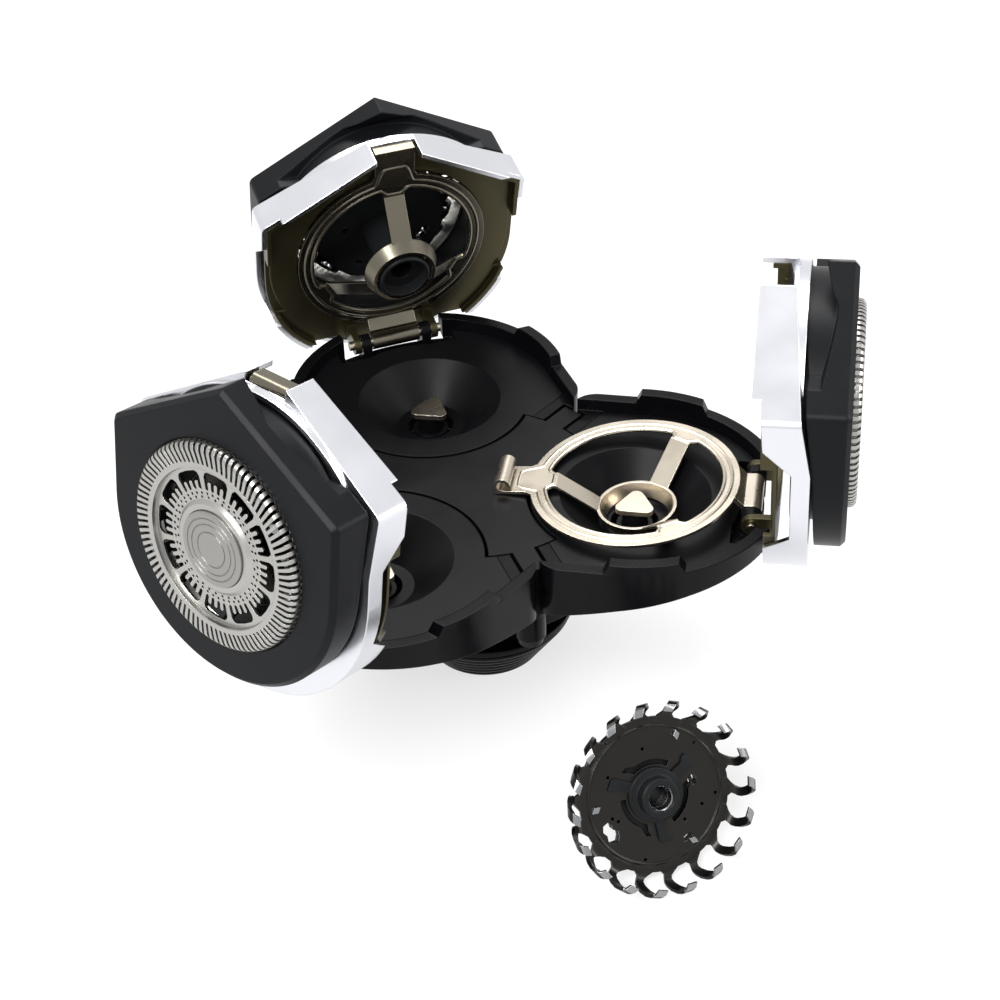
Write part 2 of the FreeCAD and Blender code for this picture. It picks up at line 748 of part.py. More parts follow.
def shaving_cap():
    """Steel cap: a ring of slots that wraps over the edge, and an inner ring of windows."""
    x = spindle_pitch
    top = cap_top_z + over
    half = cap_slot_width / 2
    low = cap_top_z - cap_shoulder
    slot = box(x + cap_slot_inner, x + cap_slot_outer, -half, half, low, top)
    half = cap_window_width / 2
    low = cap_under_z - cap_step - over
    window = box(x + cap_window_inner, x + cap_window_outer, -half, half, low, top)
    cuts = round_copies(slot, cap_slots) + round_copies(window, cap_windows)
    return turned(cap_profile()).cut(Part.makeCompound(cuts))


def cap_disc():
    """Plain disc in the cap's centre with a ring groove, and the pin that the cutter turns on."""
    top_z = cap_top_z + running_gap
    low_z = top_z - disc_thickness
    disc = rod(disc_hole_radius - running_gap, low_z, top_z)
    pin = rod(disc_pin_radius, low_z - disc_pin_length, top_z)
    groove = rod(disc_groove_radius + disc_groove_width, top_z - disc_groove_depth, top_z + over)
    groove = groove.cut(rod(disc_groove_radius, 0, top_z + over))
    return fused([disc, pin]).cut(groove)


# Bracket

def bracket():
    """One folded steel piece: ring, spokes down to a conical hub, latch curl and hinge barrel."""
    low = bracket_low_z
    top = low + sheet
    x = spindle_pitch
    hub_z = low - hub_drop
    ring = rod(bracket_outer, low, top)
    pad = rod(pad_radius, low, top, x - bracket_outer + pad_radius / 2)
    tab = box(curl_x - curl_radius, x - bracket_inner, -tab_half, tab_half, low, top)
    plate = fused([ring, pad, tab]).cut(rod(bracket_inner, low - over, top + over))
    inner = x + hub_radius - spoke_root
    outer = x + bracket_inner + spoke_root
    line = [(outer, low), (x + spoke_bend_radius, low), (inner, hub_z - sheet)]
    line += [(inner, hub_z), (x + spoke_bend_radius, top), (outer, top)]
    spokes = round_copies(side_profile(line, spoke_width / 2), bracket_spokes, x, half_sector)
    hub_low = hub_z - hub_height
    hub = turned([
        (hub_hole_radius, hub_low), (hub_hole_radius + sheet, hub_low),
        (hub_radius, hub_z), (hub_radius - sheet, hub_z),
    ])
    return fused([plate, bracket_curl(), bracket_barrel(), hub] + spokes)


def bracket_curl():
    """Three quarters of a rolled tube at the latch end, and the wall that carries it."""
    wide = tab_half + over
    near = curl_x - curl_radius
    tube = cross_rod(curl_radius, -tab_half, tab_half, curl_x, curl_z)
    tube = tube.cut(cross_rod(curl_radius - sheet, -wide, wide, curl_x, curl_z))
    tube = tube.cut(box(curl_x, curl_x + curl_radius, -wide, wide, curl_z - curl_radius, curl_z))
    wall = box(near, near + sheet, -tab_half, tab_half, bracket_low_z, curl_z)
    return tube.fuse(wall)


def bracket_barrel():
    """The rolled end round the hinge pin, and the step down to it."""
    bore = pin_radius + running_gap
    outer = bore + sheet
    low = bracket_low_z
    start = spindle_pitch + bracket_outer - barrel_overlap
    foot = start + barrel_step
    line = [(start, low), (foot, hinge_z + bore), (hinge_x, hinge_z + bore)]
    line += [(hinge_x, hinge_z + outer), (foot + sheet, hinge_z + outer)]
    line += [(start + sheet, low + sheet), (start, low + sheet)]
    tube = cross_rod(outer, -barrel_half, barrel_half, hinge_x, hinge_z)
    body = tube.fuse(side_profile(line, barrel_half))
    return body.cut(cross_rod(bore, -barrel_half - over, barrel_half + over, hinge_x, hinge_z))


def released_angle():
    """How far a released bracket drops from its closed place, until its end lies on the plate."""
    drop = bracket_low_z - deck_z - rest_gap
    return -math.degrees(math.asin(drop / (hinge_x - curl_x + curl_radius)))


# Cutter

def cutter_carrier():
    """Disc with a bearing tube above it and a long stem below, socketed for the spindle tip."""
    low_z = carrier_top_z - carrier_thickness
    tube_top = carrier_top_z + hub_tube_height
    end_top = stem_low_z + stem_end_length
    body = fused([
        rod(carrier_radius, low_z, carrier_top_z),
        rod(hub_tube_radius, low_z, tube_top),
        rod(stem_radius, end_top, low_z),
        rod(stem_end_radius, stem_low_z, end_top),
    ])
    bore = rod(disc_pin_radius + running_gap, carrier_top_z - hub_bore_depth, tube_top + over)
    wide = tip_inradius + socket_gap
    rounding = tip_corner + socket_gap
    socket = rounded_triangle(wide, rounding, stem_low_z - over, stem_low_z + socket_depth)
    return body.cut(bore).cut(socket)


def cutter_blades():
    """Blade ring on the disc, with arms that rise to the cap's slots."""
    base = carrier_top_z
    top = cap_under_z - blade_gap
    foot = carrier_radius - blade_foot
    ring = rod(carrier_radius, base, base + blade_ring)
    ring = ring.cut(rod(blade_ring_inner, base - over, base + over))
    line = [(foot, base), (carrier_radius, base), (blade_reach, base + blade_lean_height)]
    line += [(blade_reach, top - blade_bevel), (blade_reach - blade_bevel, top)]
    line += [(blade_top_inner, top), (blade_top_inner, top - blade_top_depth)]
    line += [(foot, base + blade_foot)]
    arm = side_profile([(spindle_pitch + r, z) for r, z in line], blade_width / 2)
    return fused([ring] + round_copies(arm, blade_count))


def leaned(shape):
    """Lays the loose cutter on its stem and blades, at its place on the surface."""
    rise = carrier_top_z + blade_lean_height - stem_low_z
    tilt = math.atan2(rise, blade_reach - stem_end_radius)
    stem = carrier_top_z - stem_low_z
    height = stem_end_radius * math.sin(tilt) + stem * math.cos(tilt)
    loose = shape.copy()
    loose.translate(V(-spindle_pitch, 0, -carrier_top_z))
    loose.rotate(V(0, 0, 0), V(0, 0, 1), -90.0)
    loose.rotate(V(0, 0, 0), V(1, 0, 0), math.degrees(tilt))
    loose.translate(V(loose_cutter_x, loose_cutter_y, height))
    return loose


def write(name, shape):
    print(name, shape.isValid(), len(shape.Solids), round(shape.Volume, 2))
    shape.exportStep(os.path.join("parts", name + ".step"))


def main():
    os.makedirs("parts", exist_ok=True)
    write("coupling_collar", coupling_collar())
    write("gearbox_housing", gearbox_housing())
    write("gearbox_cover", gearbox_cover())
    write("central_gear", central_gear())
    write("central_plate", central_plate())
    write("housing_screws", housing_screws())
    lobe = {"lobe_shell": lobe_shell(), "lobe_deck": lobe_deck(), "hinge_pin": hinge_pin()}
    lobe["spindle_gear"] = spindle_gear()
    lobe["spindle_spring"] = spindle_spring()
    lobe["spindle_plunger"] = spindle_plunger()
    lobe["spindle_tip"] = spindle_tip()
    lid = {"lid_frame": lid_frame(), "lid_liner": lid_liner(), "cap_holder": cap_holder()}
    lid["shaving_cap"] = shaving_cap()
    lid["cap_disc"] = cap_disc()
    cutter = {"cutter_carrier": cutter_carrier(), "cutter_blades": cutter_blades()}
    bracket_shape = bracket()
    for unit, angle in lid_opening.items():
        for name, shape in lobe.items():
            write(name + "_" + unit, placed(shape, unit))
        for name, shape in lid.items():
            write(name + "_" + unit, placed(opened(shape, angle), unit))
        bracket_angle = released_angle() if unit == "right" else angle
        write("bracket_" + unit, placed(opened(bracket_shape, bracket_angle), unit))
        for name, shape in cutter.items():
            if unit == "right":
                write("loose_" + name, leaned(shape))
            else:
                write(name + "_" + unit, placed(opened(shape, angle), unit))


main()
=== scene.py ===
import json
import math

import bmesh
import bpy
from mathutils import Matrix, Vector


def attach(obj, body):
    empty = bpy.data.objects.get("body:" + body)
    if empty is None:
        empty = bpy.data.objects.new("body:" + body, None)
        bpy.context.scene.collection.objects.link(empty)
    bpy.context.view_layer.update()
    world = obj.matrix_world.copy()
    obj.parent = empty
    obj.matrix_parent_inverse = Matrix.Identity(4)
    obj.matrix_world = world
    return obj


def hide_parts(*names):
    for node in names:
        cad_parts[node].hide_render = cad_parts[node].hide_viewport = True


bl_info = {
    "name": "Rotary Shaver Head",
    "version": (1, 0, 0),
    "blender": (4, 5, 0),
    "location": "3D View > Sidebar > Shaver Head",
    "description": "Finishes and fine parts of a rotary shaver head, built round its packed frame",
    "category": "Add Mesh",
}

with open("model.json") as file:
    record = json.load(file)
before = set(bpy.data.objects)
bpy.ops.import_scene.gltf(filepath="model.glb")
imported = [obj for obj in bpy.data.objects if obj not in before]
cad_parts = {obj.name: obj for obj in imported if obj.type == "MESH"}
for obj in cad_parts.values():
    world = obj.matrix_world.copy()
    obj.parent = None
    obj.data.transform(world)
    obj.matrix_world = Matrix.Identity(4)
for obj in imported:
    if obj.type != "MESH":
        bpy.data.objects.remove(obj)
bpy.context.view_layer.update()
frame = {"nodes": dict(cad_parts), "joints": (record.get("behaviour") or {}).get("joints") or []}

MM = 0.001
UNITS = ("rear", "right", "left")
JOINTS = {joint["name"]: joint for joint in frame["joints"]}
SPINDLE_PITCH = Vector(JOINTS["spindle_spin_rear"]["pos_m"]).xy.length
HINGE_HEIGHT = JOINTS["lid_hinge_rear"]["pos_m"][2]
CREASE = math.radians(32)
NOISE_SPAN = (0.3, 0.7)

# This unit's bracket is let down on its lobe, and its cutter leans on the surface.
RELEASED = "right"
RELEASED_DROP = math.radians(-4.984)
LOOSE_TILT = math.radians(59.473)
LOOSE_POINT = (4.75 * MM, -36.4 * MM, 7.575 * MM)


def linear(hex_code):
    """An sRGB hex colour as linear red, green, blue and alpha."""
    channels = [int(hex_code[i:i + 2], 16) / 255 for i in (1, 3, 5)]
    low = [c / 12.92 for c in channels]
    high = [((c + 0.055) / 1.055) ** 2.4 for c in channels]
    return [a if c <= 0.04045 else b for a, b, c in zip(low, high, channels)] + [1.0]


# Places: every piece of a unit is drawn with its lid closed, X from the head's axis outward,
# and is then turned to the unit and opened about the hinge.

def unit_place(unit):
    hinge = JOINTS["lid_hinge_" + unit]["pos_m"]
    return Matrix.Rotation(math.atan2(hinge[1], hinge[0]), 4, "Z")


def turned_on_hinge(unit, angle):
    """The unit's own frame, turned by an angle about the pin of its lid."""
    joint = JOINTS["lid_hinge_" + unit]
    hinge = Matrix.Translation(Vector(joint["pos_m"]))
    turn = Matrix.Rotation(angle, 4, Vector(joint["axis"]))
    return hinge @ turn @ hinge.inverted() @ unit_place(unit)


def cap_place(unit, angle=None):
    """From a cap's own frame, its axis up and heights above the hinge, to its place. Without an
    angle the lid is as far open as it goes."""
    if angle is None:
        angle = -math.radians(JOINTS["lid_hinge_" + unit]["range_deg"][0])
    return turned_on_hinge(unit, angle) @ Matrix.Translation((SPINDLE_PITCH, 0, HINGE_HEIGHT))


# Nodes

def add_node(tree, kind, inputs=None, **properties):
    """Adds one node, sets its properties, and sets or links its inputs by name or place."""
    made = tree.nodes.new(kind)
    for name, value in properties.items():
        setattr(made, name, value)
    for key, value in (inputs or {}).items():
        if isinstance(value, bpy.types.NodeSocket):
            tree.links.new(value, made.inputs[key])
        else:
            made.inputs[key].default_value = value
    return made


def add_maths(tree, operation, *values):
    """Adds a maths node and returns its result."""
    return add_node(tree, "ShaderNodeMath", dict(enumerate(values)), operation=operation).outputs[0]


def add_noise(tree, place, size, detail):
    """Adds noise whose features are about as large as the given size, and returns its value."""
    inputs = {"Vector": place, "Scale": 1 / size, "Detail": detail}
    return add_node(tree, "ShaderNodeTexNoise", inputs).outputs["Fac"]


def new_material(name, **surface):
    """A material with a shader, an output and object coordinates."""
    material = bpy.data.materials.new(name)
    material.use_nodes = True
    tree = material.node_tree
    tree.nodes.clear()
    inputs = {key.replace("_", " "): value for key, value in surface.items()}
    shader = add_node(tree, "ShaderNodeBsdfPrincipled", inputs)
    add_node(tree, "ShaderNodeOutputMaterial", {"Surface": shader.outputs["BSDF"]})
    place = add_node(tree, "ShaderNodeTexCoord").outputs["Object"]
    return material, tree, shader, place


def varied(tree, shader, place, size, colour, spread, rough):
    """Colour and roughness that drift a little, over patches of the given size."""
    cloud = add_noise(tree, place, size, 3.0)
    dark = [c * (1 - spread) for c in colour[:3]] + [1.0]
    light = [min(1.0, c * (1 + spread)) for c in colour[:3]] + [1.0]
    tone = add_node(tree, "ShaderNodeMix", {"Factor": cloud, 6: dark, 7: light}, data_type="RGBA")
    gloss = add_node(tree, "ShaderNodeMapRange", {
        "Value": cloud, "From Min": NOISE_SPAN[0], "From Max": NOISE_SPAN[1],
        "To Min": rough[0], "To Max": rough[1],
    })
    tree.links.new(tone.outputs[2], shader.inputs["Base Color"])
    tree.links.new(gloss.outputs["Result"], shader.inputs["Roughness"])


def surfaced(tree, shader, height, depth, edge):
    """Bump from a height, over edges that are rounded to the given radius."""
    rounded = add_node(tree, "ShaderNodeBevel", {"Radius": edge}, samples=6)
    bump = add_node(tree, "ShaderNodeBump", {
        "Height": height, "Distance": depth, "Strength": 1.0, "Normal": rounded.outputs["Normal"],
    })
    tree.links.new(bump.outputs["Normal"], shader.inputs["Normal"])


def moulded_plastic(name, colour, rough, edge=0.18 * MM):
    """Injection-moulded plastic: an even tone, a fine spark-eroded grain and softly broken edges.
    The real grain is near 0.08 mm, and is drawn coarser so that it shows."""
    material, tree, shader, place = new_material(name, IOR=1.5, Specular_IOR_Level=0.1)
    varied(tree, shader, place, 5 * MM, colour, 0.12, rough)
    surfaced(tree, shader, add_noise(tree, place, 0.25 * MM, 2.0), 0.004 * MM, edge)
    return material


def plated_plastic(name, colour, rough, metallic=1.0):
    """Plastic with a satin metal plating: bright, with a slight orange peel and soft edges."""
    material, tree, shader, place = new_material(name, Metallic=metallic)
    varied(tree, shader, place, 6 * MM, colour, 0.04, rough)
    surfaced(tree, shader, add_noise(tree, place, 1.1 * MM, 1.0), 0.004 * MM, 0.15 * MM)
    return material


def brushed_sheet(name, colour, rough):
    """Steel sheet, rolled along one way: fine drawn lines and burnished edges. The lines are
    drawn some 0.15 mm apart, coarser than real ones, so that they show."""
    material, tree, shader, place = new_material(name, Metallic=1.0)
    varied(tree, shader, place, 4 * MM, colour, 0.05, rough)
    drawn = add_node(tree, "ShaderNodeMapping", {"Vector": place, "Scale": (8.0, 0.6, 8.0)})
    lines = add_noise(tree, drawn.outputs["Vector"], 1.2 * MM, 3.0)
    surfaced(tree, shader, lines, 0.003 * MM, 0.08 * MM)
    return material


def turned_steel(name, colour, rough):
    """Satin stainless, ground in circles about its axis: fine rings that follow the radius."""
    material, tree, shader, place = new_material(name, Metallic=1.0)
    varied(tree, shader, place, 4 * MM, colour, 0.05, rough)
    radius = add_node(tree, "ShaderNodeAttribute", attribute_name="axis_distance").outputs["Fac"]
    rings = add_maths(tree, "MULTIPLY", radius, 2 * math.pi / (0.12 * MM))
    surfaced(tree, shader, add_maths(tree, "SINE", rings), 0.0012 * MM, 0.05 * MM)
    return material


def finish_colour(name, description, hex_code):
    return bpy.props.FloatVectorProperty(
        name=name, description=description, subtype="COLOR", size=4, default=linear(hex_code))


def whole_number(name, description, default):
    return bpy.props.IntProperty(name=name, description=description, default=default)


class ShaverFinishes(bpy.types.PropertyGroup):
    """Colours of the head's finishes."""
    casing: finish_colour("Casing", "Black plastic of lobes and gearbox", "#08080a")
    deck: finish_colour("Decks", "Black plastic of decks and central plate", "#0b0b0d")
    holder: finish_colour("Cap holders", "Black plastic round the caps", "#0d0e10")
    collar: finish_colour("Collar", "Black plastic of the coupling collar", "#08080a")
    gear: finish_colour("Central gear", "Acetal of the central gear", "#c2bfb5")
    plating: finish_colour("Lid plating", "Silver plating of the lids", "#d9dadf")
    bronze: finish_colour("Liner plating", "Bronze plating inside the lids", "#443f2b")
    sheet: finish_colour("Brackets", "Steel sheet of the released bracket and the pins", "#c4bbac")
    # Painted shade: the brackets' own steel, darkened in its colour for the open lids to stand in for
    # shade and a painted reflection of the black lobe.
    painted_shade: finish_colour("Brackets with painted shade", "Steel sheet of the brackets in open lids, darkened as painted shade", "#6f6a5e")
    spring: finish_colour("Springs", "Steel of the spindle springs", "#9a9b9e")
    cap: finish_colour("Caps", "Steel of the shaving caps", "#a9a8a4")
    disc: finish_colour("Cap discs", "Steel of the caps' centre discs", "#949390")
    carrier: finish_colour("Cutter carriers", "Plastic of the cutter carriers", "#161718")
    blade: finish_colour("Blades", "Steel of blade rings and screws", "#302f2d")
    tip: finish_colour("Blade tips", "Ground ends of the blades", "#8f9092")


class ShaverSizes(bpy.types.PropertyGroup):
    """How often the fine parts repeat, and the thickness of a cap."""
    ribs: whole_number("Ribs", "Ribs round the coupling collar", 6)
    slots: whole_number("Slots", "Slots round a cap's rim", 90)
    windows: whole_number("Windows", "Comb windows in a cap", 12)
    fingers: whole_number("Fingers", "Blade fingers on a cutter", 18)
    skin: bpy.props.FloatProperty(
        name="Cap skin", description="Thickness of a cap's steel", default=0.25 * MM, unit="LENGTH")


# Mesh helpers: profiles, outlines and sections are in millimetres, meshes in metres

def polar(radius, angle, height=0.0):
    return radius * MM * math.cos(angle), radius * MM * math.sin(angle), height * MM


def placed(data, name):
    """An object in the scene that shows the data."""
    made = bpy.data.objects.new(name, data)
    bpy.context.scene.collection.objects.link(made)
    return made


def add_wall(piece, thickness):
    wall = piece.modifiers.new("Wall", "SOLIDIFY")
    wall.thickness = thickness
    wall.offset = -1


def baked(piece):
    """The mesh that an object's curve or modifiers make. The object itself goes."""
    bpy.context.view_layer.update()
    shown = piece.evaluated_get(bpy.context.evaluated_depsgraph_get())
    mesh = bpy.data.meshes.new_from_object(shown)
    bpy.data.objects.remove(piece)
    return mesh


def painted(mesh, material):
    mesh.materials.clear()
    mesh.materials.append(material)
    return mesh


def smoothed(mesh):
    mesh.shade_smooth()
    mesh.set_sharp_from_angle(angle=CREASE)


def mesh_from(made, name):
    mesh = bpy.data.meshes.new(name)
    made.to_mesh(mesh)
    made.free()
    return mesh


def lathe(profile, steps, material, name):
    """A surface of revolution about Z from (radius, height) points."""
    made = bmesh.new()
    turns = [2 * math.pi * i / steps for i in range(steps)]
    rings = []
    for radius, height in profile:
        if radius == 0:
            rings.append([made.verts.new((0, 0, height * MM))])
        else:
            rings.append([made.verts.new(polar(radius, turn, height)) for turn in turns])
    for low, high in zip(rings, rings[1:]):
        for i in range(steps):
            n = (i + 1) % steps
            corners = [low[i % len(low)], low[n % len(low)], high[n % len(high)], high[i % len(high)]]
            unique = list(dict.fromkeys(corners))
            if len(unique) > 2:
                made.faces.new(unique)
    bmesh.ops.recalc_face_normals(made, faces=made.faces)
    return painted(mesh_from(made, name), material)


def strip(sections, thickness, material, name):
    """A bent strip along X from sections of (x, y, z, half width), the width along Y."""
    made = bmesh.new()
    centres = [Vector(section[:3]) for section in sections]
    rows = []
    for i, (centre, section) in enumerate(zip(centres, sections)):
        ahead = centres[min(i + 1, len(centres) - 1)] - centres[max(i - 1, 0)]
        side = Vector((0, section[3], 0))
        rise = ahead.cross(side).normalized() * thickness / 2
        corners = (rise - side, rise + side, side - rise, -side - rise)
        rows.append([made.verts.new((centre + corner) * MM) for corner in corners])
    for low, high in zip(rows, rows[1:]):
        for k in range(4):
            n = (k + 1) % 4
            made.faces.new([low[k], low[n], high[n], high[k]])
    made.faces.new(rows[0])
    made.faces.new(rows[-1])
    bmesh.ops.recalc_face_normals(made, faces=made.faces)
    return painted(mesh_from(made, name), material)


def arc(radius, start, end, steps):
    """Points of (radius, degrees) along an arc, both ends in."""
    return [(radius, start + (end - start) * i / steps) for i in range(steps + 1)]


def dot(radius, degrees, size, length=1.0, corners=8):
    """The outline of a small hole, longer along the circle where asked."""
    points = []
    for k in range(corners):
        a = 2 * math.pi * (k + 0.5) / corners
        turn = math.degrees(size * length * math.sin(a) / radius)
        points.append((radius + size * math.cos(a), degrees + turn))
    return points


def outline_curve(outlines, name):
    """A curve of closed outlines, each a list of (radius, degrees)."""
    curve = bpy.data.curves.new(name, "CURVE")
    for outline in outlines:
        spline = curve.splines.new("POLY")
        spline.points.add(len(outline) - 1)
        spline.use_cyclic_u = True
        for point, (radius, degrees) in zip(spline.points, outline):
            point.co = (*polar(radius, math.radians(degrees)), 1)
    return curve


def curve_mesh(curve, height):
    mesh = baked(placed(curve, curve.name))
    mesh.transform(Matrix.Translation((0, 0, height * MM)))
    return mesh


def flat_sheet(outlines, height, name):
    """A flat filled sheet: the first outline is its edge, the rest are holes."""
    curve = outline_curve(outlines, name)
    curve.dimensions = "2D"
    curve.fill_mode = "BOTH"
    return curve_mesh(curve, height)


def plate_mesh(outlines, top, thickness, material, name):
    """A flat plate, from its top face down."""
    plate = placed(flat_sheet(outlines, top, name), name)
    add_wall(plate, thickness * MM)
    return painted(baked(plate), material)


def bead_mesh(outline, size, height, material, name):
    """A round bead of the given radius that follows an outline."""
    curve = outline_curve([outline], name)
    curve.dimensions = "3D"
    curve.bevel_depth = size * MM
    curve.bevel_resolution = 2
    return painted(curve_mesh(curve, height), material)


def ring_tree(name):
    """Geometry nodes that copy a sector round the Z axis, join the copies and set a material."""
    tree = bpy.data.node_groups.new(name, "GeometryNodeTree")
    sockets = tree.interface
    sockets.new_socket("Sector", in_out="INPUT", socket_type="NodeSocketGeometry")
    count = sockets.new_socket("Count", in_out="INPUT", socket_type="NodeSocketInt")
    finish = sockets.new_socket("Finish", in_out="INPUT", socket_type="NodeSocketMaterial")
    sockets.new_socket("Ring", in_out="OUTPUT", socket_type="NodeSocketGeometry")
    source = add_node(tree, "NodeGroupInput").outputs
    points = add_node(tree, "GeometryNodePoints", {"Count": source["Count"]})
    index = add_node(tree, "GeometryNodeInputIndex").outputs[0]
    share = add_maths(tree, "DIVIDE", index, source["Count"])
    angle = add_maths(tree, "MULTIPLY", share, 2 * math.pi)
    turn = add_node(tree, "ShaderNodeCombineXYZ", {"Z": angle})
    copies = add_node(tree, "GeometryNodeInstanceOnPoints", {
        "Points": points.outputs[0], "Instance": source["Sector"], "Rotation": turn.outputs[0],
    })
    real = add_node(tree, "GeometryNodeRealizeInstances", {"Geometry": copies.outputs[0]})
    welded = add_node(tree, "GeometryNodeMergeByDistance", {
        "Geometry": real.outputs[0], "Distance": 0.004 * MM,
    })
    coated = add_node(tree, "GeometryNodeSetMaterial", {
        "Geometry": welded.outputs[0], "Material": source["Finish"],
    })
    add_node(tree, "NodeGroupOutput", {0: coated.outputs[0]})
    return tree, count.identifier, finish.identifier


def ring_of(sector, count, material, name, thickness=0.0):
    """The sector mesh copied round the Z axis as one plain mesh, with a thickness where asked."""
    tree, count_id, finish_id = ring_tree(name + " ring")
    piece = placed(sector, name + "_sector")
    nodes = piece.modifiers.new("Ring", "NODES")
    nodes.node_group = tree
    nodes[count_id] = count
    nodes[finish_id] = material
    if thickness:
        add_wall(piece, thickness)
    mesh = baked(piece)
    mesh.name = name
    return mesh


def joined(meshes, name):
    """One mesh from several, keeping their materials."""
    whole = bmesh.new()
    materials = []
    for mesh in meshes:
        for material in mesh.materials:
            if material not in materials:
                materials.append(material)
        start = len(whole.faces)
        whole.from_mesh(mesh)
        whole.faces.ensure_lookup_table()
        for face in whole.faces[start:]:
            face.material_index = materials.index(mesh.materials[face.material_index])
    result = mesh_from(whole, name)
    for material in materials:
        result.materials.append(material)
    return result


def mark_radius(mesh):
    """Stores each point's distance from the mesh's own Z axis, for turned finishes."""
    attribute = mesh.attributes.new("axis_distance", "FLOAT", "POINT")
    for i, vertex in enumerate(mesh.vertices):
        attribute.data[i].value = vertex.co.xy.length
    return mesh


def piece_from(mesh, name, place, body, nodes=()):
    """Puts a mesh in its place as a piece that rides on a body and stands for CAD nodes."""
    mesh.transform(place)
    piece = placed(mesh, name)
    smoothed(mesh)
    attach(piece, body)
    if nodes:
        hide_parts(*nodes)


def finish_nodes(material, *nodes):
    for name in nodes:
        smoothed(painted(frame["nodes"][name].data, material))


def of_units(name):
    return [name + "_" + unit for unit in UNITS if name + "_" + unit in frame["nodes"]]


# Caps: heights above the hinge and radii from the cap's own axis, as for brackets and cutters

RIM_TOP = 10.6
RIM_RADIUS = 10.69
RIM_ROUNDING = 0.7
RIM_ROUNDING_TURNS = (0.39, 0.79, 1.18, 1.57)
RIM_INNER = 8.3
SLOT_INNER = 8.75
SLOT_OUTER_HEIGHT = 9.5
RIM_LOW = 7.4
TOOTH_SHARE = 0.54
SLOT_LEAN = 0.35

WEB_TOP = 10.1
WEB_LOW = 9.85
WEB_INNER = 4.9
WEB_OUTER = 8.1
WINDOW_SHARE = 0.84
WINDOW_OUTER = 7.75
WINDOW_SHOULDER = 7.2
WINDOW_INNER = 5.85
COMB_TIP = 6.75
COMB_TEETH = 3
COMB_ROUNDING = 0.15
DOT_SIZE = 0.15
DOT_ROWS = ((5.52, (-0.75, -0.25, 0.25, 0.75)), (5.12, (-0.67, 0.0, 0.67)))

STEP_INNER = 3.95
STEP_TOP = 10.4
DISC_RADIUS = 3.9
DISC_TOP = 10.68
DISC_LOW = 10.05
DISC_GROOVES = (1.8, 2.6, 3.2)
GROOVE_HALF = 0.08
GROOVE_FLOOR_HALF = 0.04
GROOVE_DEPTH = 0.1
PIN_RADIUS = 1.25


def slot_sector(count):
    """One tooth and one slot of a cap's rim, which wraps over the edge."""
    bend = RIM_RADIUS - RIM_ROUNDING
    profile = [(RIM_INNER, RIM_TOP), (SLOT_INNER, RIM_TOP), (9.4, RIM_TOP), (bend, RIM_TOP)]
    for angle in RIM_ROUNDING_TURNS:
        out, down = RIM_ROUNDING * math.sin(angle), RIM_ROUNDING * (1 - math.cos(angle))
        profile.append((bend + out, RIM_TOP - down))
    profile += [(RIM_RADIUS, SLOT_OUTER_HEIGHT), (RIM_RADIUS, RIM_LOW)]
    step = 2 * math.pi / count
    shares = (0.0, TOOTH_SHARE / 2, TOOTH_SHARE, 1.0)
    made = bmesh.new()
    rows = []
    for radius, height in profile:
        lean = SLOT_LEAN * step * max(0.0, radius - SLOT_INNER)
        points = [polar(radius, step * share + lean, height) for share in shares]
        rows.append([made.verts.new(point) for point in points])
    slot = len(shares) - 2
    last = len(rows) - 2
    for i, (low, high) in enumerate(zip(rows, rows[1:])):
        for k in range(len(shares) - 1):
            if k != slot or i in (0, last):
                made.faces.new([low[k], high[k], high[k + 1], low[k + 1]])
    return mesh_from(made, "cap_rim_sector")


def comb_window(half):
    """The outline of one window: an arch outside, and gaps between teeth inside."""
    arch = [(WINDOW_SHOULDER, -half), (WINDOW_OUTER - 0.16, -half + 1.6), (WINDOW_OUTER, -half + 4.2)]
    points = arch + [(WINDOW_OUTER, 0.0)] + [(radius, -degrees) for radius, degrees in reversed(arch)]
    step = 2 * half / (COMB_TEETH * 2 + 1)
    for i in range(COMB_TEETH * 2 + 1):
        at = half - step * i
        end, corner = (COMB_TIP, -COMB_ROUNDING) if i % 2 else (WINDOW_INNER, COMB_ROUNDING)
        points += [(end + corner, at), (end, at - 0.3 * step), (end, at - 0.7 * step)]
        points.append((end + corner, at - step))
    return points


def window_sector(count):
    """One window, its dots and the steel between, as a flat filled sector."""
    half = 180.0 / count
    outlines = [arc(WEB_OUTER, -half, half, 6) + arc(WEB_INNER, half, -half, 6)]
    outlines.append(comb_window(half * WINDOW_SHARE))
    for radius, shares in DOT_ROWS:
        outlines += [dot(radius, share * half, DOT_SIZE) for share in shares]
    return flat_sheet(outlines, WEB_TOP, "window_sector")


def cap_mesh(sizes, material):
    """A cap's slotted rim and windowed web, with the groove between and the step to its disc."""
    rim = ring_of(slot_sector(sizes.slots), sizes.slots, material, "cap_rim", sizes.skin)
    web = ring_of(window_sector(sizes.windows), sizes.windows, material, "cap_web", sizes.skin)
    step = lathe([
        (STEP_INNER, 10.15), (STEP_INNER, STEP_TOP), (4.5, STEP_TOP), (WEB_INNER, WEB_TOP),
        (WEB_INNER, WEB_LOW), (4.4, 10.15), (STEP_INNER, 10.15),
    ], 96, material, "cap_inner_step")
    groove = lathe([
        (WEB_OUTER, WEB_LOW), (WEB_OUTER, WEB_TOP), (8.16, 10.2), (8.2, 10.55), (RIM_INNER, RIM_TOP),
        (RIM_INNER, 10.35), (RIM_INNER, WEB_LOW), (WEB_OUTER, WEB_LOW),
    ], 120, material, "cap_groove")
    return mark_radius(joined([rim, web, step, groove], "cap"))


